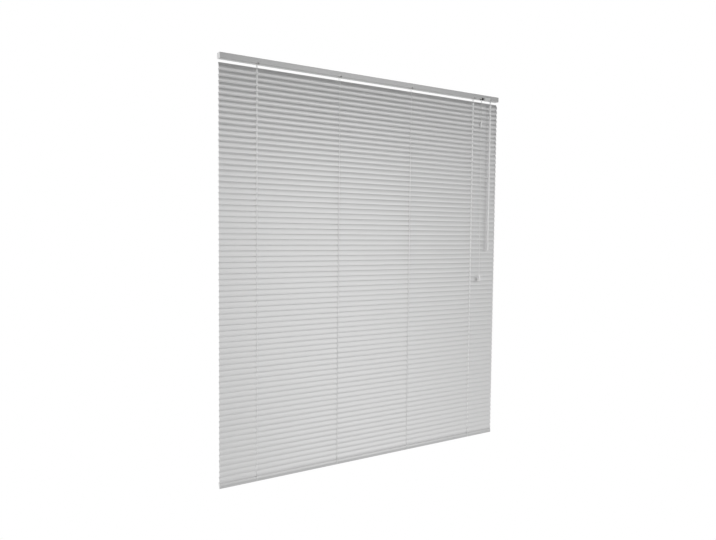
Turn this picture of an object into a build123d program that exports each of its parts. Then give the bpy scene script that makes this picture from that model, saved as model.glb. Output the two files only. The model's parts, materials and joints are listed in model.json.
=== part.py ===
from build123d import *
import math
import os

# A horizontal slat blind, lowered and closed, with a lift cord and a tilt wand.
# Millimetres. +X is to the right, +Y is towards the wall and +Z is up.
# The origin is the middle of the headrail's back face, which goes against the wall.

os.makedirs("parts", exist_ok=True)

# Driving dimensions: the whole blind
blind_width = 1400.0
slat_count = 73
slat_pitch = 21.5
slat_tilt = 73.0  # degrees from level, front edge down
first_slat_drop = 23.2  # headrail underside down to the first slat's centre
ladder_count = 4

# Slats
slat_width = 25.0
slat_crown = 1.8
slat_thickness = 0.45
slot_width = 4.5
slot_gap = 1.47  # lift cord to the slot's end

# Headrail
headrail_depth = 25.0
headrail_height = 22.0
headrail_wall = 0.6
headrail_corner = 2.7
lip_width = 3.0
lip_drop = 2.0
lip_corner = 0.8
cap_thickness = 1.5
cap_plug_depth = 6.0
cap_plug_wall = 1.2
cap_edge_radius = 0.6

# Ladder strings and cords
string_size = 1.2
string_gap = 0.25  # string to slat edge
string_bite = 0.25  # the carrier string's hold on the slat edges
splay_height = 16.0
cord_radius = 0.65
cord_hole_radius = 1.6

# Tilt rod, drums and cradles
rod_across_flats = 5.0
flange_cord_gap = 0.65  # drum flange to the lift cord below it
rod_overhang = 13.5  # rod end beyond the first ladder
rod_end_reach = 4.0  # rod end beyond the tilter
hex_clearance = 0.05
drum_groove_radius = 5.0
drum_groove_width = 10.4
drum_rim = 0.3  # flange beyond the string
drum_flange_width = 1.0
journal_radius = 4.0
journal_clearance = 0.15
journal_overhang = 0.5  # journal beyond the cradle's wall
string_drum_gap = 0.3
cradle_foot = 3.0  # base beyond the cradle's wall
cradle_flange = 0.4  # base beyond the nozzle
cradle_base = 1.2
cradle_wall = 2.0
cradle_wall_gap = 0.8  # drum flange to cradle wall
cradle_wall_depth = 12.0
cradle_wall_rise = 3.0  # above the rod axis
nozzle_length = 15.0
nozzle_wall = 0.7  # beside the string slots
nozzle_drop = 0.8
nozzle_corner = 3.0
nozzle_hole_gap = 0.6  # wider than the cord hole
fit_gap = 0.15
cord_window = 5.2
string_slot_side = 0.9  # slot beside the string
string_slot_end = 0.4  # slot before and behind the string
notch_width = 6.0
notch_height = 4.5
notch_depth = 4.0
seat_gap = 0.05

# Pins that turn the lift cords along the headrail
turn_radius = 2.6
turn_pin_gap = 0.05
turn_height = 3.8  # cord bend centre above the headrail's underside
turn_pin_length = 6.4
cord_straight = 11.0
cord_slant = 19.5
cord_bend = 6.0
lug_length = 6.0
lug_thickness = 1.3
lug_height = 4.3

# Cord lock
lock_ladder_gap = 10.0  # last cradle to the lock
lock_nose_gap = 7.5  # lock to the tilter's nose
lock_roller_radius = 3.5
lock_roller_gap = 1.35  # roller to the lock's floor
lock_pin_radius = 1.0
lock_front_gap = 0.2  # lock to the headrail's front wall
lock_wall = 0.8
lock_floor = 2.0
running_gap = 0.1
lock_left = 18.5  # from the roller axis
lock_right = 16.0
lock_lip_gap = 2.25  # lock's top to the headrail's lips
track_spacing = 1.7
track_gap = 0.15
lock_window_left = 5.0
lock_window_height = 7.8
cord_entry_height = 3.6
cam_offset = 11.0  # cam axis from the roller axis
cam_gap = 0.1  # fully closed cam to the cords' underside
cam_hub_radius = 2.2
cam_small_radius = 3.0
cam_large_radius = 4.15
cam_tooth_depth = 0.35
cam_tooth_count = 6
cam_start_angle = 75.0
cam_sweep = 90.0
anvil_length = 8.0
anvil_gap = 0.25
lock_cutout_gap = 3.3

# Tilter
tilter_end_gap = 37.5  # tilter to the end cap's plug
tilter_length = 24.0
nose_offset = 1.5  # nose edge left of the shaft
tilter_lip_gap = 0.3  # below the headrail's lips
tilter_front_gap = 0.2  # behind the front lip
tilter_back_gap = 1.3  # before the back lip
tilter_lean = 20.0  # degrees, worm shaft from upright
gear_teeth = 16
gear_root_radius = 4.1
gear_tip_radius = 5.1
gear_width = 6.0
gear_gap = 0.25
gear_tooth_base = 1.15
gear_tooth_flank = 78.0  # degrees
gear_tooth_sink = 0.4
gear_hub_radius = 3.8
worm_radius = 1.4
worm_thread_radius = 2.25
worm_length = 3.2
shaft_radius = 1.4
snout_radius = 3.2
snout_start = 6.5
snout_end = 18.5
eye_drop = 4.0  # snout to the ring
eye_radius = 3.0
wire_radius = 0.8
nose_width = 30.0
nose_depth = 9.0
nose_reach = 1.6
nose_drop = 1.2  # below the headrail
nose_high = 0.5
nose_corner = 3.0
nose_wall = 1.2
nose_gap = 1.2
tilter_cutout_depth = 8.6
cutout_height = 8.0

# Wand
hook_arch_radius = 2.5
hook_tail = 4.0
hook_neck = 9.0
hook_bend = 1.5
hook_end_gap = 0.5
hook_sleeve_gap = 1.0  # hook's neck to the sleeve
wand_length = 686.0
wand_across_flats = 7.0
wand_cap_radius = 4.4
wand_cap_length = 9.0
wand_cap_wall = 0.5
wand_cap_rise = 2.0
hook_socket_depth = 12.0
grip_length = 42.0
grip_radius = 5.0
grip_socket_depth = 14.0
grip_end_radius = 2.2
grip_top_radius = 0.4
sleeve_edge_radius = 1.2

# Pull cords, joiner and tassel
joiner_side = -0.2  # from where the cords leave the lock
joiner_forward = 1.05
joiner_top = 112.5  # below the headrail's middle
joiner_length = 28.5
joiner_radius = 4.0
joiner_end_radius = 2.4
joiner_taper = 3.0
joiner_spread = 1.7
joiner_gap = 0.3
tassel_side = 0.8  # from where the cords leave the lock
tassel_slat_gap = 1.5
tassel_top = 835.0
tassel_length = 28.0
tassel_radius = 11.0
tassel_waist_radius = 5.6
tassel_neck_radius = 3.4
tassel_wall = 1.2
knot_radius = 2.0

# Bottom rail
rail_wall = 0.6
rail_edge_radius = 2.4
rail_crown = 2.8
rail_cap_thickness = 1.5
rail_cap_plug_depth = 7.0
rail_cap_edge_radius = 0.5
plug_radius = 5.0
plug_head_radius = 6.5
plug_head = 1.2
plug_taper = 20.0  # degrees
plug_stem = 3.0
rail_string_gap = 0.3
cord_end_rise = 6.0  # lift cord end above the bottom rail's middle

# Places worked out from the dimensions
mid_y = -headrail_depth / 2
under_z = -headrail_height / 2
inner_front = -headrail_depth + headrail_wall
inner_floor = under_z + headrail_wall
tilt = math.radians(slat_tilt)
tilt_cos = math.cos(tilt)
tilt_sin = math.sin(tilt)
first_slat_z = under_z - first_slat_drop
slat_centres = [first_slat_z - slat_pitch * number for number in range(slat_count)]
rail_z = first_slat_z - slat_pitch * slat_count
half_slat = slat_width / 2
slat_back = half_slat * tilt_cos + slat_thickness * tilt_sin
front_string = half_slat * tilt_cos + string_gap + string_size / 2
back_string = slat_back + string_gap + string_size / 2
carrier_offset = slat_back - string_bite + string_size / 2
carrier_ladder = 1  # the ladder whose back string carries the slats
drum_string_radius = drum_groove_radius + string_drum_gap + string_size / 2
drum_flange_radius = drum_string_radius + string_size / 2 + drum_rim
flange_inner = drum_groove_width / 2
flange_outer = flange_inner + drum_flange_width
wall_near = flange_outer + cradle_wall_gap
wall_middle = wall_near + cradle_wall / 2
drum_length = 2 * (wall_near + cradle_wall + journal_overhang)
cradle_length = 2 * (wall_near + cradle_wall + cradle_foot)
rod_z = under_z + turn_height + turn_radius + cord_radius + flange_cord_gap + drum_flange_radius

# From the right-hand end: end cap, tilter with its nose, lock, last ladder
headrail_length = blind_width - 2 * cap_thickness
tilter_x = headrail_length / 2 - cap_plug_depth - tilter_end_gap - tilter_length / 2
nose_left = tilter_x - nose_offset - nose_width
lock_x = nose_left - lock_nose_gap - lock_right
last_ladder_x = lock_x - lock_left - lock_ladder_gap - cradle_length / 2
ladder_spacing = 2 * last_ladder_x / (ladder_count - 1)
ladder_xs = [ladder_spacing * number - last_ladder_x for number in range(ladder_count)]
cord_xs = [ladder_xs[0], ladder_xs[-1]]

# One slat, level, with its crown up and its width along Y
slat_radius = (half_slat**2 + slat_crown**2) / (2 * slat_crown)
slat_arc = math.degrees(math.asin(half_slat / slat_radius))
slat_arc_y = (slat_radius - slat_crown) * tilt_sin
slat_arc_z = (slat_crown - slat_radius) * tilt_cos
crossing_z = slat_arc_z + math.sqrt(slat_radius**2 - (cord_radius - slat_arc_y) ** 2)
cord_reach = cord_radius * tilt_cos + crossing_z * tilt_sin  # along the slat, from its middle
slot_length = 2 * (cord_reach + slot_gap)
with BuildPart() as one_slat:
    with BuildSketch(Plane.YZ):
        with BuildLine():
            upper = CenterArc((0, slat_crown - slat_radius), slat_radius, 90 - slat_arc, 2 * slat_arc)
            lower = CenterArc(
                (0, slat_crown - slat_radius), slat_radius - slat_thickness, 90 - slat_arc, 2 * slat_arc
            )
            Line(upper @ 0, lower @ 0)
            Line(upper @ 1, lower @ 1)
        make_face()
    extrude(amount=blind_width / 2, both=True)
    with BuildSketch(Plane.XY):
        with Locations(*[(x, 0) for x in cord_xs]):
            Rectangle(slot_width, slot_length)
    extrude(amount=slat_width / 2, both=True, mode=Mode.SUBTRACT)

# All the slats, carried by one ladder's back string
carrier_top = under_z
carrier_bottom = slat_centres[-1]
with BuildPart() as slats:
    with Locations(*[Location((0, mid_y, z), (slat_tilt, 0, 0)) for z in slat_centres]):
        add(one_slat.part)
    with BuildSketch(Plane.XY.offset(carrier_bottom)):
        with Locations((ladder_xs[carrier_ladder], mid_y + carrier_offset)):
            Rectangle(string_size, string_size)
    extrude(amount=carrier_top - carrier_bottom)
slats.part.label = "slats"
export_step(slats.part, "parts/slats.step")

# Bottom rail: a rolled steel tube, tilted like the slats
rail_thickness = 2 * rail_edge_radius + rail_crown
rail_shift = rail_edge_radius - rail_thickness / 2
rail_plane = Plane(
    origin=(0, mid_y, rail_z),
    x_dir=(0, tilt_cos, tilt_sin),
    z_dir=(1, 0, 0),
)
rail_length = blind_width - 2 * rail_cap_thickness

flat_reach = half_slat - rail_edge_radius
rail_low = rail_shift - rail_edge_radius
rail_high = rail_shift + rail_edge_radius
with BuildSketch(Plane.XY) as rail_section:
    with BuildLine():
        Line((-flat_reach, rail_low), (flat_reach, rail_low))
        ThreePointArc((flat_reach, rail_low), (half_slat, rail_shift), (flat_reach, rail_high))
        ThreePointArc((flat_reach, rail_high), (0, rail_high + rail_crown), (-flat_reach, rail_high))
        ThreePointArc((-flat_reach, rail_high), (-half_slat, rail_shift), (-flat_reach, rail_low))
    make_face()

rail_under = Plane(
    origin=(0, mid_y + tilt_sin * rail_thickness / 2, rail_z - tilt_cos * rail_thickness / 2),
    x_dir=(1, 0, 0),
    z_dir=(0, tilt_sin, -tilt_cos),
)
with BuildPart() as bottom_rail:
    with BuildSketch(rail_plane):
        add(rail_section.sketch)
        offset(amount=-rail_wall, mode=Mode.SUBTRACT)
    extrude(amount=rail_length / 2, both=True)
    with BuildSketch(rail_under):
        with Locations(*[(x, 0) for x in ladder_xs]):
            Circle(plug_radius + fit_gap)
    extrude(amount=-rail_wall * 2, mode=Mode.SUBTRACT)
    with BuildSketch(Plane.XY.offset(rail_z + cord_end_rise - 1)):
        with Locations(*[(x, mid_y) for x in cord_xs]):
            Circle(cord_hole_radius)
    extrude(amount=slat_width, mode=Mode.SUBTRACT)
bottom_rail.part.label = "bottom_rail"
export_step(bottom_rail.part, "parts/bottom_rail.step")

# Bottom rail end caps: a plate with a plug that goes into the tube
for side, name in ((-1, "rail_cap_left"), (1, "rail_cap_right")):
    seat = side * rail_length / 2
    with BuildPart() as rail_cap:
        with BuildSketch(rail_plane.offset(seat)):
            add(rail_section.sketch)
        extrude(amount=side * rail_cap_thickness)
        with BuildSketch(rail_plane.offset(seat)):
            add(rail_section.sketch)
            offset(amount=-(rail_wall + fit_gap), mode=Mode.REPLACE)
            offset(amount=-cap_plug_wall, mode=Mode.SUBTRACT)
        extrude(amount=-side * rail_cap_plug_depth)
        fillet(rail_cap.faces().sort_by(Axis.X)[-1 if side > 0 else 0].edges(), rail_cap_edge_radius)
    rail_cap.part.label = name
    export_step(rail_cap.part, f"parts/{name}.step")

# Plugs that hold the ladder ends and the cord knots in the bottom rail
for number, x in enumerate(ladder_xs, 1):
    with BuildPart() as rail_plug:
        with BuildSketch(rail_under):
            with Locations((x, 0)):
                Circle(plug_head_radius)
        extrude(amount=plug_head, taper=plug_taper)
        with BuildSketch(rail_under):
            with Locations((x, 0)):
                Circle(plug_radius)
        extrude(amount=-plug_stem)
    rail_plug.part.label = f"rail_plug_{number}"
    export_step(rail_plug.part, f"parts/rail_plug_{number}.step")

# Headrail: a rolled channel, open at the top, with its lips folded in and down
lip_top = headrail_height / 2 - headrail_wall / 2
front_line = -headrail_depth + headrail_wall / 2
back_line = -headrail_wall / 2
floor_line = under_z + headrail_wall / 2
lip_end = lip_top - lip_drop
track_ys = [
    inner_front + lock_front_gap + lock_wall + track_gap + cord_radius,
    inner_front + lock_front_gap + lock_wall + track_gap + cord_radius + track_spacing,
]
lock_back = track_ys[1] + cord_radius + track_gap + lock_wall
lock_cutout_depth = headrail_depth + lock_back + lock_cutout_gap
string_slot_middle = (front_string + drum_string_radius) / 2
string_slot_width = string_size + 2 * string_slot_side
string_slot_depth = drum_string_radius - front_string + string_size + 2 * string_slot_end
nozzle_depth = 2 * (string_slot_middle + nozzle_wall) + string_slot_depth
cradle_depth = nozzle_depth + 2 * cradle_flange
exit_x = lock_x + lock_roller_radius + turn_pin_gap + cord_radius
nose_x = nose_left + nose_width / 2
nose_low = headrail_height / 2 + nose_drop
nose_opening_left = nose_left - nose_gap
nose_opening_right = tilter_x + snout_radius + nose_gap
with BuildPart() as headrail:
    with BuildSketch(Plane.YZ):
        with BuildLine() as section:
            FilletPolyline(
                (front_line + lip_width, lip_end),
                (front_line + lip_width, lip_top),
                (front_line, lip_top),
                (front_line, floor_line),
                (back_line, floor_line),
                (back_line, lip_top),
                (back_line - lip_width, lip_top),
                (back_line - lip_width, lip_end),
                radius=[lip_corner, lip_corner, headrail_corner, headrail_corner, lip_corner, lip_corner],
            )
        trace(line_width=headrail_wall)
    extrude(amount=headrail_length / 2, both=True)
    with BuildSketch(Plane.XY.offset(under_z)):
        with Locations(*[(x, mid_y) for x in ladder_xs]):
            RectangleRounded(
                nozzle_length + 2 * fit_gap, nozzle_depth + 2 * fit_gap, nozzle_corner + fit_gap
            )
    extrude(amount=headrail_wall * 2, mode=Mode.SUBTRACT)
    with BuildSketch(Plane.XZ.offset(headrail_depth)):
        with Locations(*[(x, under_z + notch_height / 2) for x in ladder_xs]):
            Rectangle(notch_width, notch_height)
    extrude(amount=-notch_depth, mode=Mode.SUBTRACT)
    with BuildSketch(Plane.XZ.offset(headrail_depth)):
        with Locations((lock_x + (lock_right - lock_window_left) / 2, under_z + cutout_height / 2)):
            Rectangle(lock_right + lock_window_left, cutout_height)
    extrude(amount=-lock_cutout_depth, mode=Mode.SUBTRACT)
    with BuildSketch(Plane.XZ.offset(headrail_depth)):
        with Locations(((nose_opening_left + nose_opening_right) / 2, (nose_high + nose_gap + under_z) / 2)):
            Rectangle(nose_opening_right - nose_opening_left, nose_high + nose_gap - under_z)
    extrude(amount=-tilter_cutout_depth, mode=Mode.SUBTRACT)
headrail.part.label = "headrail"
export_step(headrail.part, "parts/headrail.step")

# Headrail end caps
cap_plug_low = inner_floor + fit_gap
cap_plug_high = lip_end - headrail_wall / 2 - fit_gap
cap_plug_width = headrail_depth - 2 * (headrail_wall + fit_gap)
for side, name in ((-1, "end_cap_left"), (1, "end_cap_right")):
    seat = side * headrail_length / 2
    with BuildPart() as end_cap:
        with BuildSketch(Plane.YZ.offset(seat)):
            with Locations((mid_y, 0)):
                RectangleRounded(headrail_depth, headrail_height, headrail_corner)
        extrude(amount=side * cap_thickness)
        with BuildSketch(Plane.YZ.offset(seat)):
            with Locations((mid_y, (cap_plug_low + cap_plug_high) / 2)):
                RectangleRounded(cap_plug_width, cap_plug_high - cap_plug_low, headrail_corner)
                RectangleRounded(
                    cap_plug_width - 2 * cap_plug_wall,
                    cap_plug_high - cap_plug_low - 2 * cap_plug_wall,
                    headrail_corner - cap_plug_wall,
                    mode=Mode.SUBTRACT,
                )
        extrude(amount=-side * cap_plug_depth)
        fillet(end_cap.faces().sort_by(Axis.X)[-1 if side > 0 else 0].edges(), cap_edge_radius)
    end_cap.part.label = name
    export_step(end_cap.part, f"parts/{name}.step")

# Tilt rod, six-sided, through every drum and the tilter's gear
rod_start = ladder_xs[0] - rod_overhang
rod_end = tilter_x + tilter_length / 2 + rod_end_reach
with BuildPart() as tilt_rod:
    with BuildSketch(Plane.YZ.offset(rod_start)):
        with Locations((mid_y, rod_z)):
            RegularPolygon(rod_across_flats / 2, 6, major_radius=False)
    extrude(amount=rod_end - rod_start)
tilt_rod.part.label = "tilt_rod"
export_step(tilt_rod.part, "parts/tilt_rod.step")

# Ladder drums, which turn with the rod
rod_axis = Axis((0, mid_y, rod_z), (1, 0, 0))
for number, x in enumerate(ladder_xs, 1):
    with BuildPart() as ladder_drum:
        with BuildSketch(Plane.XZ.offset(-mid_y)):
            with BuildLine():
                Polyline(
                    (x - drum_length / 2, rod_z),
                    (x - drum_length / 2, rod_z + journal_radius),
                    (x - flange_outer, rod_z + journal_radius),
                    (x - flange_outer, rod_z + drum_flange_radius),
                    (x - flange_inner, rod_z + drum_flange_radius),
                    (x - flange_inner, rod_z + drum_groove_radius),
                    (x + flange_inner, rod_z + drum_groove_radius),
                    (x + flange_inner, rod_z + drum_flange_radius),
                    (x + flange_outer, rod_z + drum_flange_radius),
                    (x + flange_outer, rod_z + journal_radius),
                    (x + drum_length / 2, rod_z + journal_radius),
                    (x + drum_length / 2, rod_z),
                    close=True,
                )
            make_face()
        revolve(axis=rod_axis)
        with BuildSketch(Plane.YZ.offset(x - drum_length / 2)):
            with Locations((mid_y, rod_z)):
                RegularPolygon(rod_across_flats / 2 + hex_clearance, 6, major_radius=False)
        extrude(amount=drum_length, mode=Mode.SUBTRACT)
    ladder_drum.part.label = f"ladder_drum_{number}"
    export_step(ladder_drum.part, f"parts/ladder_drum_{number}.step")

# Cradles: each carries a drum, and guides the ladder and the cord through the headrail's floor
base_low = inner_floor + seat_gap
base_top = base_low + cradle_base
turn_z = under_z + turn_height
turn_top = turn_z + turn_radius
turn_pin_radius = turn_radius - cord_radius - turn_pin_gap
bore_radius = journal_radius + journal_clearance
for number, x in enumerate(ladder_xs, 1):
    with BuildPart() as cradle:
        with BuildSketch(Plane.XY.offset(base_low)):
            with Locations((x, mid_y)):
                Rectangle(cradle_length, cradle_depth)
        extrude(amount=cradle_base)
        with BuildSketch(Plane.XY.offset(under_z - nozzle_drop)):
            with Locations((x, mid_y)):
                RectangleRounded(nozzle_length, nozzle_depth, nozzle_corner)
        extrude(amount=base_low - under_z + nozzle_drop)
        with BuildSketch(Plane.XY.offset(base_top)):
            with Locations((x - wall_middle, mid_y), (x + wall_middle, mid_y)):
                Rectangle(cradle_wall, cradle_wall_depth)
        extrude(amount=rod_z + cradle_wall_rise - base_top)
        with BuildSketch(Plane.YZ.offset(x - cradle_length / 2)):
            with Locations((mid_y, rod_z)):
                Circle(bore_radius)
            with Locations((mid_y, rod_z + bore_radius)):
                Rectangle(2 * bore_radius, 2 * bore_radius)
            with Locations((mid_y, base_top + cord_window / 2)):
                Rectangle(cord_window, cord_window)
        extrude(amount=cradle_length, mode=Mode.SUBTRACT)
        with BuildSketch(Plane.XY.offset(base_top)):
            for side in (-1, 1):
                with Locations((x + turn_radius, mid_y + side * (turn_pin_length - lug_thickness) / 2)):
                    Rectangle(lug_length, lug_thickness)
        extrude(amount=lug_height)
        with BuildSketch(Plane.XZ.offset(-mid_y + turn_pin_length / 2)):
            with Locations((x + turn_radius, turn_z)):
                Circle(turn_pin_radius + turn_pin_gap)
        extrude(amount=-turn_pin_length, mode=Mode.SUBTRACT)
        with BuildSketch(Plane.XY.offset(under_z - nozzle_drop)):
            with Locations((x, mid_y)):
                Circle(cord_hole_radius + nozzle_hole_gap)
            for side in (-1, 1):
                with Locations((x, mid_y + side * string_slot_middle)):
                    Rectangle(string_slot_width, string_slot_depth)
        extrude(amount=base_top - under_z + nozzle_drop, mode=Mode.SUBTRACT)
    cradle.part.label = f"cradle_{number}"
    export_step(cradle.part, f"parts/cradle_{number}.step")

# Steel pins that the lift cords bend over
for number, x in enumerate(ladder_xs, 1):
    with BuildPart() as cord_pin:
        with BuildSketch(Plane.XZ.offset(-mid_y + turn_pin_length / 2)):
            with Locations((x + turn_radius, turn_z)):
                Circle(turn_pin_radius)
        extrude(amount=-turn_pin_length)
    cord_pin.part.label = f"cord_pin_{number}"
    export_step(cord_pin.part, f"parts/cord_pin_{number}.step")

# Ladders: the strings go down the front, over the drum and down the back
splay_z = rail_z + splay_height
rail_crown_radius = (flat_reach**2 + rail_crown**2) / (2 * rail_crown)
rail_front_reach = rail_crown_radius + (rail_high + rail_crown - rail_crown_radius) * tilt_sin
tail_y = rail_front_reach + rail_string_gap + string_size / 2
tail_z = flat_reach * tilt_sin
rail_top_z = rail_z + flat_reach * tilt_sin + rail_shift * tilt_cos + rail_edge_radius
for number, x in enumerate(ladder_xs, 1):
    is_carrier = number - 1 == carrier_ladder
    with BuildPart() as ladder:
        with BuildSketch(Plane.YZ.offset(x)):
            with BuildLine() as strings:
                Polyline(
                    (mid_y - tail_y, rail_z - tail_z),
                    (mid_y - front_string, splay_z),
                    (mid_y - front_string, first_slat_z),
                    (mid_y - drum_string_radius, rod_z),
                )
                ThreePointArc(
                    (mid_y - drum_string_radius, rod_z),
                    (mid_y, rod_z + drum_string_radius),
                    (mid_y + drum_string_radius, rod_z),
                )
                if is_carrier:
                    Line(
                        (mid_y + drum_string_radius, rod_z),
                        (mid_y + carrier_offset, carrier_top + string_gap),
                    )
                else:
                    Polyline(
                        (mid_y + drum_string_radius, rod_z),
                        (mid_y + back_string, first_slat_z),
                        (mid_y + back_string, rail_top_z + rail_string_gap),
                    )
            trace(line_width=string_size)
        extrude(amount=string_size / 2, both=True)
    ladder.part.label = f"ladder_{number}"
    export_step(ladder.part, f"parts/ladder_{number}.step")

# Lift cords: from the bottom rail, up through the slats' slots
for number, x in enumerate(cord_xs, 1):
    with BuildPart() as lift_cord:
        with BuildSketch(Plane.XY.offset(rail_z + cord_end_rise)):
            with Locations((x, mid_y)):
                Circle(cord_radius)
        extrude(amount=under_z - rail_z - cord_end_rise)
    lift_cord.part.label = f"lift_cord_{number}"
    export_step(lift_cord.part, f"parts/lift_cord_{number}.step")

# The same cords inside the headrail: over the pin, along the front and over the lock's roller
lock_low = inner_floor + seat_gap
cavity_low = lock_low + lock_floor
roller_z = cavity_low + lock_roller_gap + lock_roller_radius
corridor_z = roller_z + lock_roller_radius + turn_pin_gap + cord_radius
roller_turn = exit_x - lock_x
for number, x in enumerate(cord_xs, 1):
    track_y = track_ys[number - 1]
    with BuildPart() as headrail_cord:
        with BuildLine() as route:
            FilletPolyline(
                (x, mid_y, under_z),
                (x, mid_y, turn_top),
                (x + cord_straight, mid_y, turn_top),
                (x + cord_slant, track_y, corridor_z),
                (exit_x, track_y, corridor_z),
                (exit_x, track_y, under_z),
                radius=[turn_radius, cord_bend, cord_bend, roller_turn],
            )
        with BuildSketch(Plane.XY.offset(under_z)):
            with Locations((x, mid_y)):
                Circle(cord_radius)
        sweep(path=route.line)
    headrail_cord.part.label = f"headrail_cord_{number}"
    export_step(headrail_cord.part, f"parts/headrail_cord_{number}.step")

# Cord lock: a housing with a roller, a toothed cam and an anvil above the cords
lock_front = inner_front + lock_front_gap
lock_high = lip_end - lock_lip_gap
lock_height = lock_high - lock_low
lock_middle = (lock_front + lock_back) / 2
lock_depth = lock_back - lock_front
cavity_depth = lock_depth - 2 * lock_wall
cavity_high = lock_high - lock_wall
cam_x = lock_x - cam_offset
cam_z = corridor_z - cord_radius - cam_gap - cam_large_radius
anvil_low = corridor_z + cord_radius + anvil_gap
lock_centre_x = lock_x + (lock_right - lock_left) / 2
window_centre_x = lock_x + (lock_right - lock_window_left - lock_wall) / 2
window_length = lock_right + lock_window_left - lock_wall
with BuildPart() as lock_housing:
    with BuildSketch(Plane.XY.offset(lock_low)):
        with Locations((lock_centre_x, lock_middle)):
            Rectangle(lock_left + lock_right, lock_depth)
    extrude(amount=lock_height)
    fillet(lock_housing.edges().filter_by(Axis.X).group_by(Axis.Z)[0].sort_by(Axis.Y)[0], headrail_corner)
    with BuildSketch(Plane.XY.offset(cavity_low)):
        with Locations((lock_centre_x, lock_middle)):
            Rectangle(lock_left + lock_right - 2 * lock_wall, cavity_depth)
    extrude(amount=cavity_high - cavity_low, mode=Mode.SUBTRACT)
    with BuildSketch(Plane.XY.offset(anvil_low)):
        with Locations((cam_x, lock_middle)):
            Rectangle(anvil_length, lock_depth)
    extrude(amount=cavity_high - anvil_low + lock_wall)
    with BuildSketch(Plane.XY.offset(lock_low)):
        with Locations((window_centre_x, lock_middle)):
            Rectangle(window_length, cavity_depth)
    extrude(amount=lock_floor, mode=Mode.SUBTRACT)
    with BuildSketch(Plane.XZ.offset(-lock_front)):
        with Locations((window_centre_x, lock_low + lock_window_height / 2)):
            Rectangle(window_length, lock_window_height)
    extrude(amount=-lock_wall, mode=Mode.SUBTRACT)
    with BuildSketch(Plane.YZ.offset(lock_x - lock_left)):
        with Locations((lock_middle, corridor_z)):
            Rectangle(cavity_depth, cord_entry_height)
    extrude(amount=lock_wall, mode=Mode.SUBTRACT)
    with BuildSketch(Plane.XZ.offset(-lock_front)):
        with Locations((lock_x, roller_z), (cam_x, cam_z)):
            Circle(lock_pin_radius + seat_gap)
    extrude(amount=-lock_depth, mode=Mode.SUBTRACT)
lock_housing.part.label = "lock_housing"
export_step(lock_housing.part, "parts/lock_housing.step")

for name, x, z in (("roller_pin", lock_x, roller_z), ("cam_pin", cam_x, cam_z)):
    with BuildPart() as lock_pin:
        with BuildSketch(Plane.XZ.offset(-lock_front)):
            with Locations((x, z)):
                Circle(lock_pin_radius)
        extrude(amount=-lock_depth)
    lock_pin.part.label = name
    export_step(lock_pin.part, f"parts/{name}.step")

inside_front = lock_front + lock_wall + running_gap
inside_depth = cavity_depth - 2 * running_gap
with BuildPart() as lock_roller:
    with BuildSketch(Plane.XZ.offset(-inside_front)):
        with Locations((lock_x, roller_z)):
            Circle(lock_roller_radius)
            Circle(lock_pin_radius + running_gap, mode=Mode.SUBTRACT)
    extrude(amount=-inside_depth)
lock_roller.part.label = "lock_roller"
export_step(lock_roller.part, "parts/lock_roller.step")

# The cam's edge is a rising row of teeth, so turning it closes it on the cords
cam_points = []
for tooth in range(cam_tooth_count):
    start = cam_start_angle + cam_sweep * tooth / cam_tooth_count
    stop = cam_start_angle + cam_sweep * (tooth + 1) / cam_tooth_count
    grown = cam_small_radius + (cam_large_radius - cam_small_radius) * (tooth + 1) / cam_tooth_count
    cam_points.append((start, grown - cam_tooth_depth))
    cam_points.append((stop, grown))
cam_outline = [
    (cam_x + r * math.cos(math.radians(a)), cam_z + r * math.sin(math.radians(a))) for a, r in cam_points
]
with BuildPart() as lock_cam:
    with BuildSketch(Plane.XZ.offset(-inside_front)):
        with BuildLine():
            Polyline((cam_x, cam_z), *cam_outline, close=True)
        make_face()
        with Locations((cam_x, cam_z)):
            Circle(cam_hub_radius)
            Circle(lock_pin_radius + running_gap, mode=Mode.SUBTRACT)
    extrude(amount=-inside_depth)
lock_cam.part.label = "lock_cam"
export_step(lock_cam.part, "parts/lock_cam.step")

# Tilter: a worm on a leaning shaft turns a gear on the tilt rod
lean = math.radians(tilter_lean)
shaft_run = (0, -math.sin(lean), -math.cos(lean))
worm_centre_distance = gear_root_radius + worm_thread_radius + gear_gap
worm_y = mid_y - worm_centre_distance * math.cos(lean)
worm_z = rod_z + worm_centre_distance * math.sin(lean)


def along_shaft(distance):
    """A sketch plane square to the worm's shaft, this far down it from the gear."""
    return Plane(
        origin=(tilter_x, worm_y + shaft_run[1] * distance, worm_z + shaft_run[2] * distance),
        x_dir=(1, 0, 0),
        z_dir=shaft_run,
    )


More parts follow.
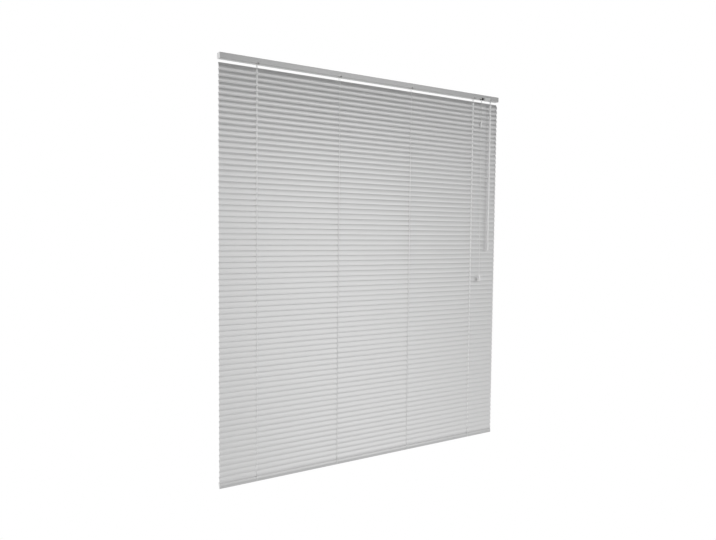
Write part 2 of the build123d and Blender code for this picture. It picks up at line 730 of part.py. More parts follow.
gear_hole = gear_tip_radius + gear_gap
tilter_front = inner_front + lock_front_gap
tilter_low_top = lip_end - tilter_lip_gap
tilter_high_top = headrail_height / 2 - headrail_wall
tilter_high_front = front_line + lip_width + headrail_wall / 2 + tilter_front_gap
tilter_back = back_line - lip_width - headrail_wall / 2 - tilter_back_gap
snout_length = snout_end - snout_start
eye_reach = snout_end + eye_drop + eye_radius
nose_hollow = tilter_x - tilter_length / 2 - nose_left - 2 * nose_wall
with BuildPart() as tilter_housing:
    with BuildSketch(Plane.YZ.offset(tilter_x - tilter_length / 2)):
        with BuildLine():
            Polyline(
                (tilter_front, lock_low + headrail_corner),
                (tilter_front, tilter_low_top),
                (tilter_high_front, tilter_low_top),
                (tilter_high_front, tilter_high_top),
                (tilter_back, tilter_high_top),
                (tilter_back, lock_low),
                (tilter_front + headrail_corner, lock_low),
                close=True,
            )
        make_face()
    extrude(amount=tilter_length)
    with BuildSketch(Plane.XZ.offset(headrail_depth + nose_reach)):
        with Locations((nose_x, (nose_high - nose_low) / 2)):
            RectangleRounded(nose_width, nose_low + nose_high, nose_corner)
    extrude(amount=-nose_depth)
    with BuildSketch(Plane.XZ.offset(headrail_depth + nose_reach - nose_wall)):
        with Locations(((nose_left + tilter_x - tilter_length / 2) / 2, 0)):
            Rectangle(nose_hollow, 2 * (nose_low - nose_wall))
    extrude(amount=-nose_depth, mode=Mode.SUBTRACT)
    with BuildSketch(along_shaft(snout_start)):
        Circle(snout_radius)
    extrude(amount=snout_length)
    with BuildSketch(Plane.YZ.offset(tilter_x - gear_width / 2 - gear_gap)):
        with Locations((mid_y, rod_z)):
            Circle(gear_hole)
    extrude(amount=gear_width + 2 * gear_gap, mode=Mode.SUBTRACT)
    with BuildSketch(Plane.YZ.offset(tilter_x - tilter_length / 2)):
        with Locations((mid_y, rod_z)):
            Circle(gear_hub_radius + journal_clearance)
    extrude(amount=tilter_length, mode=Mode.SUBTRACT)
    with BuildSketch(along_shaft(-worm_length / 2 - running_gap)):
        Circle(worm_thread_radius + gear_gap)
    extrude(amount=worm_length + 2 * running_gap, mode=Mode.SUBTRACT)
    with BuildSketch(along_shaft(0)):
        Circle(shaft_radius + journal_clearance)
    extrude(amount=eye_reach, mode=Mode.SUBTRACT)
tilter_housing.part.label = "tilter_housing"
export_step(tilter_housing.part, "parts/tilter_housing.step")

tooth_height = gear_tip_radius - gear_root_radius + gear_tooth_sink
with BuildPart() as tilter_gear:
    with BuildSketch(Plane.YZ.offset(tilter_x - gear_width / 2)):
        with Locations((mid_y, rod_z)):
            Circle(gear_root_radius)
            with PolarLocations((gear_root_radius + gear_tip_radius - gear_tooth_sink) / 2, gear_teeth):
                Trapezoid(gear_tooth_base, tooth_height, gear_tooth_flank, rotation=-90)
    extrude(amount=gear_width)
    with BuildSketch(Plane.YZ.offset(tilter_x - tilter_length / 2)):
        with Locations((mid_y, rod_z)):
            Circle(gear_hub_radius)
    extrude(amount=tilter_length)
    with BuildSketch(Plane.YZ.offset(tilter_x - tilter_length / 2)):
        with Locations((mid_y, rod_z)):
            RegularPolygon(rod_across_flats / 2 + hex_clearance, 6, major_radius=False)
    extrude(amount=tilter_length, mode=Mode.SUBTRACT)
tilter_gear.part.label = "tilter_gear"
export_step(tilter_gear.part, "parts/tilter_gear.step")

# Worm shaft, ending in a ring that the wand's hook hangs in
ring_plane = Plane(
    origin=along_shaft(eye_reach).origin,
    x_dir=(1, 0, 0),
    z_dir=(0, -math.cos(lean), math.sin(lean)),
)
ring_start = along_shaft(eye_reach + eye_radius)
with BuildPart() as worm_shaft:
    with BuildSketch(along_shaft(-worm_length / 2)):
        Circle(worm_radius)
    extrude(amount=worm_length)
    with BuildSketch(along_shaft(0)):
        Circle(shaft_radius)
    extrude(amount=eye_reach - eye_radius)
    with Locations(ring_plane):
        Torus(eye_radius, wire_radius)
worm_shaft.part.label = "worm_shaft"
export_step(worm_shaft.part, "parts/worm_shaft.step")

# Wand: a wire hook, a sleeve over its joint, the six-sided rod and a grip
hang = ring_start.origin
wand_y = hang.Y
sleeve_high = hang.Z - hook_neck - hook_sleeve_gap
wand_high = sleeve_high - wand_cap_rise
hook_low = wand_high - hook_socket_depth
with BuildPart() as wand_hook:
    with BuildLine() as hook_line:
        Line(
            (tilter_x, wand_y - hook_arch_radius, hang.Z - hook_tail),
            (tilter_x, wand_y - hook_arch_radius, hang.Z),
        )
        ThreePointArc(
            (tilter_x, wand_y - hook_arch_radius, hang.Z),
            (tilter_x, wand_y, hang.Z + hook_arch_radius),
            (tilter_x, wand_y + hook_arch_radius, hang.Z),
        )
        FilletPolyline(
            (tilter_x, wand_y + hook_arch_radius, hang.Z),
            (tilter_x, wand_y + hook_arch_radius, hang.Z - hook_tail),
            (tilter_x, wand_y, hang.Z - hook_neck),
            (tilter_x, wand_y, hook_low + hook_end_gap),
            radius=hook_bend,
        )
    with BuildSketch(Plane.XY.offset(hang.Z - hook_tail)):
        with Locations((tilter_x, wand_y - hook_arch_radius)):
            Circle(wire_radius)
    sweep(path=hook_line.line)
wand_hook.part.label = "wand_hook"
export_step(wand_hook.part, "parts/wand_hook.step")

sleeve_low = wand_high - wand_cap_length
with BuildPart() as wand_sleeve:
    with BuildSketch(Plane.XY.offset(sleeve_low)):
        with Locations((tilter_x, wand_y)):
            Circle(wand_cap_radius + wand_cap_wall)
    extrude(amount=sleeve_high - sleeve_low)
    with BuildSketch(Plane.XY.offset(sleeve_low)):
        with Locations((tilter_x, wand_y)):
            Circle(wand_cap_radius)
    extrude(amount=wand_cap_length + seat_gap, mode=Mode.SUBTRACT)
    with BuildSketch(Plane.XY.offset(sleeve_low)):
        with Locations((tilter_x, wand_y)):
            Circle(wire_radius + fit_gap)
    extrude(amount=sleeve_high - sleeve_low, mode=Mode.SUBTRACT)
    fillet(wand_sleeve.edges().group_by(Axis.Z)[-1].sort_by(SortBy.RADIUS)[-1], sleeve_edge_radius)
wand_sleeve.part.label = "wand_sleeve"
export_step(wand_sleeve.part, "parts/wand_sleeve.step")

grip_low = wand_high - wand_length
wand_low = grip_low + grip_length - grip_socket_depth
with BuildPart() as wand:
    with BuildSketch(Plane.XY.offset(wand_low)):
        with Locations((tilter_x, wand_y)):
            RegularPolygon(wand_across_flats / 2, 6, major_radius=False)
    extrude(amount=wand_high - wand_low)
    with BuildSketch(Plane.XY.offset(hook_low)):
        with Locations((tilter_x, wand_y)):
            Circle(wire_radius + seat_gap)
    extrude(amount=hook_socket_depth, mode=Mode.SUBTRACT)
wand.part.label = "wand"
export_step(wand.part, "parts/wand.step")

with BuildPart() as wand_grip:
    with BuildSketch(Plane.XY.offset(grip_low)):
        with Locations((tilter_x, wand_y)):
            Circle(grip_radius)
    extrude(amount=grip_length)
    fillet(wand_grip.edges().group_by(Axis.Z)[0], grip_end_radius)
    fillet(wand_grip.edges().group_by(Axis.Z)[-1], grip_top_radius)
    with BuildSketch(Plane.XY.offset(wand_low)):
        with Locations((tilter_x, wand_y)):
            RegularPolygon(wand_across_flats / 2 + hex_clearance, 6, major_radius=False)
    extrude(amount=grip_length, mode=Mode.SUBTRACT)
wand_grip.part.label = "wand_grip"
export_step(wand_grip.part, "parts/wand_grip.step")

# The two lift cords below the lock, down to the joiner
joiner_x = exit_x + joiner_side
joiner_y = (track_ys[0] + track_ys[1]) / 2 - joiner_forward
joiner_high = -joiner_top
with BuildPart() as pull_cords_upper:
    for side, track_y in ((-1, track_ys[0]), (1, track_ys[1])):
        with BuildLine() as route:
            Line((exit_x, track_y, under_z), (joiner_x, joiner_y + side * joiner_spread / 2, joiner_high))
        with BuildSketch(Plane(origin=route.line @ 0, z_dir=route.line % 0)):
            Circle(cord_radius)
        extrude(amount=route.wire().length)
pull_cords_upper.part.label = "pull_cords_upper"
export_step(pull_cords_upper.part, "parts/pull_cords_upper.step")

joiner_low = joiner_high - joiner_length
with BuildPart() as cord_joiner:
    with BuildSketch(Plane.XZ.offset(-joiner_y)):
        with BuildLine():
            Polyline(
                (joiner_x, joiner_high),
                (joiner_x + joiner_end_radius, joiner_high),
                (joiner_x + joiner_radius, joiner_high - joiner_taper),
                (joiner_x + joiner_radius, joiner_low + joiner_taper),
                (joiner_x + joiner_end_radius, joiner_low),
                (joiner_x + cord_radius + joiner_gap, joiner_low),
                (joiner_x + cord_radius + joiner_gap, joiner_low + tassel_wall),
                (joiner_x + joiner_radius - tassel_wall, joiner_low + joiner_taper),
                (joiner_x + joiner_radius - tassel_wall, joiner_high - joiner_taper),
                (joiner_x, joiner_high - joiner_taper),
                close=True,
            )
        make_face()
    revolve(axis=Axis((joiner_x, joiner_y, 0), (0, 0, 1)))
cord_joiner.part.label = "cord_joiner"
export_step(cord_joiner.part, "parts/cord_joiner.step")

# One pull cord, knotted inside the joiner and inside the tassel
tassel_x = exit_x + tassel_side
tassel_y = mid_y - half_slat * tilt_cos - tassel_slat_gap - tassel_radius
tassel_high = -tassel_top
knot_high = joiner_low + joiner_taper + knot_radius
knot_low = tassel_high - tassel_wall - knot_radius - seat_gap
with BuildPart() as pull_cord:
    with BuildLine() as route:
        Line((joiner_x, joiner_y, knot_high), (tassel_x, tassel_y, knot_low))
    with BuildSketch(Plane(origin=route.line @ 0, z_dir=route.line % 0)):
        Circle(cord_radius)
    extrude(amount=route.wire().length)
    with Locations(route.line @ 0, route.line @ 1):
        Sphere(knot_radius)
pull_cord.part.label = "pull_cord"
export_step(pull_cord.part, "parts/pull_cord.step")

# Tassel: an open bell
with BuildPart() as tassel:
    with BuildSketch(Plane.XZ.offset(-tassel_y)):
        with BuildLine():
            ThreePointArc(
                (tassel_x + tassel_neck_radius, tassel_high),
                (tassel_x + tassel_waist_radius, tassel_high - tassel_length / 2),
                (tassel_x + tassel_radius, tassel_high - tassel_length),
            )
            ThreePointArc(
                (tassel_x + tassel_neck_radius - tassel_wall, tassel_high - tassel_wall),
                (tassel_x + tassel_waist_radius - tassel_wall, tassel_high - tassel_length / 2),
                (tassel_x + tassel_radius - tassel_wall, tassel_high - tassel_length),
            )
            Line(
                (tassel_x + tassel_radius - tassel_wall, tassel_high - tassel_length),
                (tassel_x + tassel_radius, tassel_high - tassel_length),
            )
            Polyline(
                (tassel_x + tassel_neck_radius, tassel_high),
                (tassel_x + cord_radius + joiner_gap, tassel_high),
                (tassel_x + cord_radius + joiner_gap, tassel_high - tassel_wall),
                (tassel_x + tassel_neck_radius - tassel_wall, tassel_high - tassel_wall),
            )
        make_face()
    revolve(axis=Axis((tassel_x, tassel_y, 0), (0, 0, 1)))
tassel.part.label = "tassel"
export_step(tassel.part, "parts/tassel.step")

print(f"lift and pull cords: radius {cord_radius} mm")
print(f"ladder strings: {string_size} mm square")
print(f"wand hangs at y {wand_y:.3f}, z {hang.Z:.3f}; shaft runs {shaft_run}")
print(f"worm at y {worm_y:.3f}, z {worm_z:.3f}; bottom rail at z {rail_z:.3f}")
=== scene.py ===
import json
import math

import bmesh
import bpy
from mathutils import Matrix, Vector

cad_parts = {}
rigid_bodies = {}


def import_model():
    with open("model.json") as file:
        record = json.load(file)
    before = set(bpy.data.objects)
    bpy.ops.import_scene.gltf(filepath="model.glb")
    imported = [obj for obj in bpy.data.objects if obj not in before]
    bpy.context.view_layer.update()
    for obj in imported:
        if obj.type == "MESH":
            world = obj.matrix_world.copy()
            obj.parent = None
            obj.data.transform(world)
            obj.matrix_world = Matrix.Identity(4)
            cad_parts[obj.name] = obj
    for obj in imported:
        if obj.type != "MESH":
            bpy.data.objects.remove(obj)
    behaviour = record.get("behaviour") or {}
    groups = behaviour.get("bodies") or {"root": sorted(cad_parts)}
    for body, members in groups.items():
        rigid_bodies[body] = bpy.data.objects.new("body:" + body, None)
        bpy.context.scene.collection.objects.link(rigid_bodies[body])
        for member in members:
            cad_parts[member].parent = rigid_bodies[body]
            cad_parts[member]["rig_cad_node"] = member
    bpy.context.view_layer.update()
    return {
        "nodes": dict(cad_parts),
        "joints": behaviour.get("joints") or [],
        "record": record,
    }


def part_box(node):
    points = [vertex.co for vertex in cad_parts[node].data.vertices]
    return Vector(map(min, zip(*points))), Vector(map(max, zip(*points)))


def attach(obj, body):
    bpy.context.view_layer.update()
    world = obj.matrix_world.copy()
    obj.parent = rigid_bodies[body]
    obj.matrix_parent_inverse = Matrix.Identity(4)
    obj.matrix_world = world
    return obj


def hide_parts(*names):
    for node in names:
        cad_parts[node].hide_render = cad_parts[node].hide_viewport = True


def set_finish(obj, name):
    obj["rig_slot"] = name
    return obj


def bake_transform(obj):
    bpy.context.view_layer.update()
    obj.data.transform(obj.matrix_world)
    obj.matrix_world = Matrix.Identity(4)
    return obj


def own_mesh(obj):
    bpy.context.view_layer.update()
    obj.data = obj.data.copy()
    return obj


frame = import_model()
joints = {joint["name"]: joint for joint in frame["joints"]}

# Sizes in metres, in the part's frame: +X right, +Y to the wall, +Z up
MID_Y = -0.0125
UNDER_Z = -0.011
ROD_Z = 0.0035

# Sizes of the slats
WIDTH = 1.3994
SLAT_COUNT = 73
SLAT_PITCH = 0.0215
SLAT_TILT = math.radians(73)
FIRST_SLAT_Z = -0.0342
SLAT_WIDTH = 0.025
SLAT_CROWN = 0.0018
SLAT_THICKNESS = 0.00042
SLAT_CORNER = 0.0025
SLAT_SEGMENTS = 14
HALF_SLAT = SLAT_WIDTH / 2
SLAT_BEND = (HALF_SLAT**2 + SLAT_CROWN**2) / (2 * SLAT_CROWN)
SLOT_WIDTH = 0.0045
SLOT_LENGTH = 0.016
SLOT_END_ROWS = [0, 0.0006, 0.0022]
SLOT_MARGIN = 0.004
TILT_WOBBLE = math.radians(0.35)
SIDE_WOBBLE = 0.0003
SIDE_WOBBLE_START = 200
CREASE = math.radians(35)
TINY = 1e-6

# Sizes of the ladders
LADDER_SPACING = 0.365
LADDERS = [LADDER_SPACING * (number - 1.5) for number in range(4)]
FRONT_STRING = 0.0045
BACK_STRING = 0.0049
BACK_STRING_DROP = 0.002
STRING_RADIUS = 0.00075
DRUM_STRING = 0.0059
RUNG_RADIUS = 0.00028
RUNG_SINK = 1.6 * RUNG_RADIUS
RUNG_SPREAD = 0.0004
RUNG_ROOT_SPREAD = 0.3 * RUNG_SPREAD
RUNG_OVERHANG = 0.0002
RUNG_SHOULDER = 0.6 * HALF_SLAT
RUNG_SHOULDER_RISE = 0.0003
RUNG_MIDDLE_RISE = 0.0008
LADDER_KNOT = [(0, 0.0017), (0.00095, 0.0011), (0.0013, 0), (0.00095, -0.0011), (0, -0.0017)]
LADDER_KNOT_DROP = 0.0006
LADDER_KNOT_FORWARD = 0.0002
TAIL_OUT = 0.0052
TAIL_END_OUT = 0.0054
TAIL_DROP = 0.0095

# Sizes of the cords
CORDS = [LADDERS[0], LADDERS[-1]]
CORD_RADIUS = 0.00065
CORD_TRACKS = [-0.0226, -0.0209]
LOCK_EXIT_X = 0.5922
JOINER_SPREAD = 0.0017
UPPER_BULGE = 0.0004
LOWER_BULGE = 0.0005
LOWER_BULGE_PLACE = 0.55
KNOT_RADIUS = 0.002

# Sizes of the worm's thread, which passes the gear's teeth through a gap between two of them
THREAD_LINE = 0.00165
THREAD_RADIUS = 0.0003
THREAD_REACH = 0.0013
GEAR_PITCH = 0.0018
GAP_FROM_WORM = 0.0007

# The bottom rail's place under the last slat, and the top of the rail part
RAIL_Z = FIRST_SLAT_Z - SLAT_PITCH * SLAT_COUNT
RAIL_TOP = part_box("bottom_rail")[1].z

# Light, floor and card
WHITE = (1, 1, 1, 1)
SOFT_LIGHT = 0.85
BRIGHT_AZIMUTH = math.radians(31.5)
BRIGHT_SPREAD = 0.96
BRIGHT_LIGHT = 1.38
SIDE_LIGHT = 0.45
WINDOW_SPREAD = 0.4
WINDOW_LIGHT = 1.3
DIM_START = 0.50
DIM_END = 0.97
OVERHEAD_LIGHT = 0.25
FLOOR_Z = -2.2
FLOOR_SIZE = 40
FLOOR_GREY = 0.9
FLOOR_REFLECTED = 0.72
CARD_PLACE = (0.3, -0.35, 0.35)
CARD_LENGTH = 6
CARD_DEPTH = 0.8
CARD_GREY = 0.32

# Camera
CAMERA_PLACE = (-1.5836, -2.3397, -0.6433)
CAMERA_YAW = math.radians(32.80)
CAMERA_PITCH = math.radians(-3.21)
CAMERA_ROLL = math.radians(0.56)
CAMERA_LENS = 32.98


# Meshes
def new_piece(name, verts, faces, smooth=True):
    mesh = bpy.data.meshes.new(name)
    mesh.from_pydata([tuple(v) for v in verts], [], faces)
    mesh.validate()
    mesh.update()
    if smooth:
        mesh.shade_smooth()
    piece = bpy.data.objects.new(name, mesh)
    bpy.context.scene.collection.objects.link(piece)
    return piece


def add_tube(verts, faces, path, radius, sides=8):
    """Appends a closed tube that follows the points; every ring is square to the line."""
    first = len(verts)
    points = [Vector(p) for p in path]
    for i, p in enumerate(points):
        before = points[max(i - 1, 0)]
        after = points[min(i + 1, len(points) - 1)]
        run = (after - before).normalized()
        side = Vector((1, 0, 0)) if abs(run.x) < 0.9 else Vector((0, 1, 0))
        u = run.cross(side).normalized()
        v = run.cross(u)
        for k in range(sides):
            a = 2 * math.pi * k / sides
            verts.append(p + (u * math.cos(a) + v * math.sin(a)) * radius)
    for i in range(len(points) - 1):
        for k in range(sides):
            a = first + i * sides + k
            b = first + i * sides + (k + 1) % sides
            faces.append((a, b, b + sides, a + sides))
    last = first + (len(points) - 1) * sides
    faces.append(tuple(first + k for k in reversed(range(sides))))
    faces.append(tuple(last + k for k in range(sides)))


def add_turned(verts, faces, centre, profile, sides=8):
    """Appends a closed round form from (radius, height) points, its ends on the upright axis."""
    first = len(verts)
    centre = Vector(centre)
    verts.append(centre + Vector((0, 0, profile[0][1])))
    for radius, height in profile[1:-1]:
        for k in range(sides):
            a = 2 * math.pi * k / sides
            verts.append(centre + Vector((radius * math.cos(a), radius * math.sin(a), height)))
    verts.append(centre + Vector((0, 0, profile[-1][1])))
    last = len(verts) - 1
    for k in range(sides):
        n = (k + 1) % sides
        faces.append((first, first + 1 + k, first + 1 + n))
        faces.append((last, last - sides + n, last - sides + k))
        for ring in range(len(profile) - 3):
            a = first + 1 + ring * sides
            faces.append((a + k, a + sides + k, a + sides + n, a + n))


def tube_piece(name, path, radius, sides=14):
    verts, faces = [], []
    add_tube(verts, faces, path, radius, sides=sides)
    return new_piece(name, verts, faces)


def weld(piece):
    """Joins points that coincide and turns every face outwards."""
    mesh = bmesh.new()
    mesh.from_mesh(piece.data)
    bmesh.ops.remove_doubles(mesh, verts=mesh.verts, dist=TINY)
    bmesh.ops.recalc_face_normals(mesh, faces=mesh.faces)
    mesh.to_mesh(piece.data)
    mesh.free()


# Slats: thin bent sheets with round corners and two cord slots
def slat_z(number):
    return FIRST_SLAT_Z - SLAT_PITCH * number


def slat_rows():
    """Places across the slat: even steps along its arc, and extra rows near the slots' ends."""
    arc = math.asin(HALF_SLAT / SLAT_BEND)
    angles = [-arc + 2 * arc * i / SLAT_SEGMENTS for i in range(SLAT_SEGMENTS + 1)]
    rows = {round(SLAT_BEND * math.sin(a), 7) for a in angles}
    extra = {SLOT_LENGTH / 2 - inset for inset in SLOT_END_ROWS}
    return sorted(rows | extra | {-y for y in extra})


def slat_half_length(y):
    """Half the slat's length at this place across it, so its corners are round."""
    edge = HALF_SLAT - abs(y)
    if edge >= SLAT_CORNER:
        return WIDTH / 2
    return WIDTH / 2 - SLAT_CORNER + math.sqrt(max(SLAT_CORNER**2 - (SLAT_CORNER - edge) ** 2, 0))


def slot_half_width(y):
    """Half the cord slot's width at this place across the slat, with round ends."""
    r = SLOT_WIDTH / 2
    over = abs(y) - (SLOT_LENGTH / 2 - r)
    if over <= 0:
        return r
    return math.sqrt(max(r**2 - over**2, 0))


def slat_columns(y):
    """Places along the slat: both ends, and each slot's sides with a margin outside them."""
    end = slat_half_length(y)
    slot = slot_half_width(y)
    columns = [-end]
    for x in CORDS:
        columns += [x - SLOT_MARGIN, x - slot, x + slot, x + SLOT_MARGIN]
    return columns + [end]


def slat_point(x, y, below):
    """A point of the bent sheet, this far under its upper face."""
    a = math.asin(y / SLAT_BEND)
    r = SLAT_BEND - below
    return Vector((x, r * math.sin(a), SLAT_CROWN - SLAT_BEND + r * math.cos(a)))


def one_slat():
    """A level slat as a thin closed sheet, as lists of points and faces."""
    rows = slat_rows()
    grid = [[(x, y) for x in slat_columns(y)] for y in rows]
    width = len(grid[0])
    slot_columns = {2 + 4 * number for number in range(len(CORDS))}
    verts = []
    for below in (0, SLAT_THICKNESS):
        verts += [slat_point(x, y, below) for row in grid for x, y in row]

    def at(layer, i, j):
        return (layer * len(rows) + i) * width + j

    def in_slot(i, j):
        after_start = rows[i] >= -SLOT_LENGTH / 2 - TINY
        before_end = rows[i + 1] <= SLOT_LENGTH / 2 + TINY
        return j in slot_columns and after_start and before_end

    def solid(i, j):
        return 0 <= i < len(rows) - 1 and 0 <= j < width - 1 and not in_slot(i, j)

    faces = []
    for i in range(len(rows) - 1):
        for j in range(width - 1):
            if not solid(i, j):
                continue
            faces.append((at(0, i, j), at(0, i, j + 1), at(0, i + 1, j + 1), at(0, i + 1, j)))
            faces.append((at(1, i, j), at(1, i + 1, j), at(1, i + 1, j + 1), at(1, i, j + 1)))
            for di, dj, a, b in (
                (-1, 0, (i, j), (i, j + 1)),
                (1, 0, (i + 1, j + 1), (i + 1, j)),
                (0, -1, (i + 1, j), (i, j)),
                (0, 1, (i, j + 1), (i + 1, j + 1)),
            ):
                if not solid(i + di, j + dj):
                    faces.append((at(0, *a), at(1, *a), at(1, *b), at(0, *b)))
    return verts, faces


def wobble(number, scale):
    """A small fixed offset for a slat, so the row isn't perfectly even."""
    return scale * (math.sin(number * 12.9898 + 4.1) * 43758.5453 % 1 - 0.5) * 2


def build_slats():
    base, base_faces = one_slat()
    verts, faces = [], []
    for number in range(SLAT_COUNT):
        turn = Matrix.Rotation(SLAT_TILT + wobble(number, TILT_WOBBLE), 4, "X")
        aside = wobble(number + SIDE_WOBBLE_START, SIDE_WOBBLE)
        place = Matrix.Translation((aside, MID_Y, slat_z(number))) @ turn
        start = len(verts)
        verts += [place @ v for v in base]
        faces += [tuple(start + k for k in f) for f in base_faces]
    return new_piece("slat_set", verts, faces)


slats = build_slats()
weld(slats)
slats.data.shade_smooth()
slats.data.set_sharp_from_angle(angle=CREASE)
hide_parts("slats")
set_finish(slats, "slat_aluminium")
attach(slats, "headrail")


# Ladders: two strings each, with a pair of rungs and a knot at every slat
def ladder_path(x, steps=10):
    """Up the front of the slats, over the drum and down behind them."""
    edge = HALF_SLAT * math.sin(SLAT_TILT)
    front_y = MID_Y - FRONT_STRING
    back_y = MID_Y + BACK_STRING
    front = [(x, front_y, RAIL_TOP)]
    for number in reversed(range(SLAT_COUNT)):
        front.append((x, front_y, slat_z(number) - edge))
    front.append((x, front_y, FIRST_SLAT_Z))
    angles = [math.pi * (1 - i / steps) for i in range(steps + 1)]
    over = [(x, MID_Y + DRUM_STRING * math.cos(a), ROD_Z + DRUM_STRING * math.sin(a)) for a in angles]
    back = [(x, back_y, FIRST_SLAT_Z)]
    for number in range(SLAT_COUNT):
        back.append((x, back_y, slat_z(number) + edge - BACK_STRING_DROP))
    back.append((x, back_y, RAIL_TOP))
    return front + over + sorted(back, key=lambda p: -p[2])


def rung_path(x, z, side):
    """From the front string under the slat's whole width, on one side of the ladder's line."""
    shape = [
        (-HALF_SLAT - RUNG_OVERHANG, 0),
        (-RUNG_SHOULDER, RUNG_SHOULDER_RISE),
        (0, RUNG_MIDDLE_RISE),
        (RUNG_SHOULDER, RUNG_SHOULDER_RISE),
        (HALF_SLAT, 0),
    ]
    points = []
    for across, rise in shape:
        low = rise - SLAT_THICKNESS - RUNG_SINK
        y = MID_Y + across * math.cos(SLAT_TILT) - low * math.sin(SLAT_TILT)
        up = across * math.sin(SLAT_TILT) + low * math.cos(SLAT_TILT)
        points.append((x + side * RUNG_SPREAD, y, z + up))
    root = (x + side * RUNG_ROOT_SPREAD, MID_Y - FRONT_STRING, points[0][2])
    return [root] + points


def build_ladder(number, x):
    verts, faces = [], []
    add_tube(verts, faces, ladder_path(x), STRING_RADIUS)
    knot_y = MID_Y - FRONT_STRING - LADDER_KNOT_FORWARD
    for slat in range(SLAT_COUNT):
        z = slat_z(slat)
        for side in (-1, 1):
            add_tube(verts, faces, rung_path(x, z, side), RUNG_RADIUS, sides=5)
        knot_z = z - HALF_SLAT * math.sin(SLAT_TILT) - LADDER_KNOT_DROP
        add_turned(verts, faces, (x, knot_y, knot_z), LADDER_KNOT)
    return new_piece(f"ladder_braid_{number}", verts, faces)


def tail_path(x):
    """The front string's end, which goes down the rail's front with the rail."""
    return [
        (x, MID_Y - FRONT_STRING, RAIL_TOP),
        (x, MID_Y - TAIL_OUT, RAIL_Z),
        (x, MID_Y - TAIL_END_OUT, RAIL_Z - TAIL_DROP),
    ]


for number, x in enumerate(LADDERS, 1):
    ladder = build_ladder(number, x)
    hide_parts(f"ladder_{number}")
    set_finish(ladder, "ladder_braid")
    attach(ladder, "headrail")
    tail = tube_piece(f"ladder_tail_{number}", tail_path(x), STRING_RADIUS, sides=8)
    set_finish(tail, "ladder_braid")
    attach(tail, "bottom_rail")


# Lift cords: straight down through the slats' slots
def straight_line(start, end, steps=24):
    return [Vector(start).lerp(Vector(end), i / steps) for i in range(steps + 1)]


for number, x in enumerate(CORDS, 1):
    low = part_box(f"lift_cord_{number}")[0].z
    path = straight_line((x, MID_Y, UNDER_Z), (x, MID_Y, low))
    cord = tube_piece(f"lift_braid_{number}", path, CORD_RADIUS, sides=12)
    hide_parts(f"lift_cord_{number}")
    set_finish(cord, "cord_braid")
    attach(cord, "headrail")


# Pull cords: two from the lock to the joiner, one from the joiner to the tassel
def route_line(name, points, steps=16):
    """The points along the smooth line that has these control points."""
    curve = bpy.data.curves.new(name, "CURVE")
    curve.dimensions = "3D"
    curve.resolution_u = steps
    spline = curve.splines.new("NURBS")
    spline.points.add(len(points) - 1)
    for point, place in zip(spline.points, points):
        point.co = (*place, 1)
    spline.order_u = 3
    spline.use_endpoint_u = True
    holder = bpy.data.objects.new(name, curve)
    bpy.context.scene.collection.objects.link(holder)
    line = bpy.data.meshes.new_from_object(holder)
    found = [v.co.copy() for v in line.vertices]
    bpy.data.objects.remove(holder)
    bpy.data.curves.remove(curve)
    bpy.data.meshes.remove(line)
    return found


def top_middle(node):
    low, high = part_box(node)
    return Vector(((low.x + high.x) / 2, (low.y + high.y) / 2, high.z))


joiner = top_middle("cord_joiner")
joiner_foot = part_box("cord_joiner")[0].z
tassel = top_middle("tassel")
for number, (track, side) in enumerate(zip(CORD_TRACKS, (-1, 1)), 1):
    start = Vector((LOCK_EXIT_X, track, UNDER_Z))
    end = Vector((joiner.x, joiner.y + side * JOINER_SPREAD / 2, joiner.z))
    middle = start.lerp(end, 0.5) + Vector((side * UPPER_BULGE, 0, 0))
    path = route_line("route", [start, middle, end])
    cord = tube_piece(f"pull_braid_{number}", path, CORD_RADIUS)
    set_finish(cord, "cord_braid")
    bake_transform(cord)
    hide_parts("pull_cords_upper")

cord_low, cord_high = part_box("pull_cord")
top_knot = Vector((joiner.x, joiner.y, cord_high.z - KNOT_RADIUS))
low_knot = Vector((tassel.x, tassel.y, cord_low.z + KNOT_RADIUS))
leaving = (top_knot.z - joiner_foot) / (top_knot.z - low_knot.z)
joiner_exit = top_knot.lerp(low_knot, leaving)
middle = joiner_exit.lerp(low_knot, LOWER_BULGE_PLACE) + Vector((LOWER_BULGE, 0, 0))
path = route_line("route", [joiner_exit, middle, low_knot], steps=24)
cord = tube_piece("pull_braid_single", path, CORD_RADIUS)
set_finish(cord, "cord_braid")
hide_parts("pull_cord")
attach(cord, "pull_cord")


# The knots that hold the single cord in the joiner and in the tassel
def round_knot(steps=8):
    angles = [math.pi * i / steps for i in range(steps + 1)]
    return [(KNOT_RADIUS * math.sin(a), KNOT_RADIUS * math.cos(a)) for a in angles]


verts, faces = [], []
for centre in (top_knot, low_knot):
    add_turned(verts, faces, centre, round_knot(), sides=16)
knots = new_piece("pull_knots", verts, faces)
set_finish(knots, "cord_braid")
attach(knots, "pull_cord")


# The worm's thread, a right-handed helix that runs through a gap between the gear's teeth
def thread_path(steps=40):
    middle = Vector(joints["worm_turn"]["pos_m"])
    run = Vector(joints["worm_turn"]["axis"]).normalized()
    gear = Vector(joints["tilt_rod_turn"]["pos_m"])
    to_gear = Vector((0, gear.y - middle.y, gear.z - middle.z)).normalized()
    beside = run.cross(to_gear)
    points = []
    for i in range(steps + 1):
        along = THREAD_REACH * (2 * i / steps - 1)
        a = 2 * math.pi * (along - GAP_FROM_WORM) / GEAR_PITCH
        out = to_gear * math.cos(a) + beside * math.sin(a)
        points.append(middle + run * along + out * THREAD_LINE)
    return points


thread = tube_piece("worm_thread", thread_path(), THREAD_RADIUS, sides=8)
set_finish(thread, "bright_steel")
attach(thread, "worm_shaft")


# Shader nodes
def material(name):
    made = bpy.data.materials.new(name)
    made.use_nodes = True
    nodes = made.node_tree.nodes
    links = made.node_tree.links
    shader = nodes["Principled BSDF"]
    return made, nodes, links, shader


